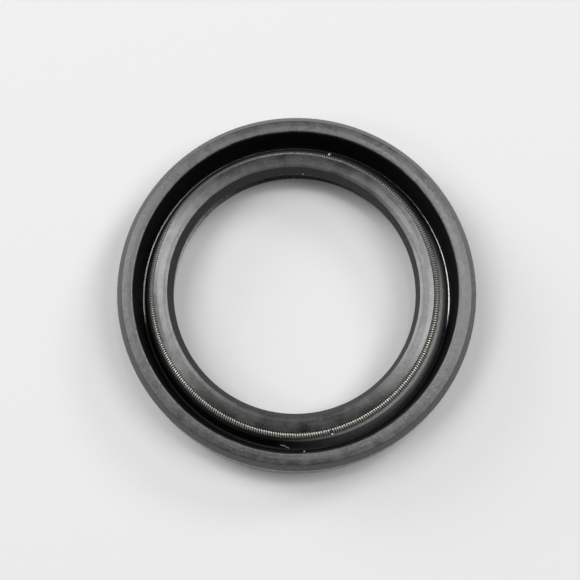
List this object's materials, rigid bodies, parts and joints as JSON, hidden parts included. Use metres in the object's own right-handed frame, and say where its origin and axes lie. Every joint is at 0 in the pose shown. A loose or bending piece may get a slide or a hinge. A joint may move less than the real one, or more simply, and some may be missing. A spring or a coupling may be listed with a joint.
{
  "type": "radial shaft seal",
  "caption": "Ring-shaped rubber-covered radial shaft seal with a spring-loaded main lip on the inside, a dust lip, and a plain outside that presses into a housing bore.",
  "frame": {"origin": "centre of the air side's flat face, on the shaft's axis", "axes": "+Z along the shaft's axis, towards the oil side, where the garter spring shows"},
  "size_m": [0.0502, 0.0502, 0.007],
  "materials": {
    "rubber": "moulded nitrile rubber, black, satin with a faint grey bloom",
    "insert_steel": "pressed mild steel, phosphated, bonded inside the rubber",
    "spring_steel": "drawn spring wire, bright, faintly golden"
  },
  "bodies": {
    "root": {"rubber_body": "rubber", "steel_insert": "insert_steel", "garter_spring": "spring_steel"}
  },
  "joints": []
}
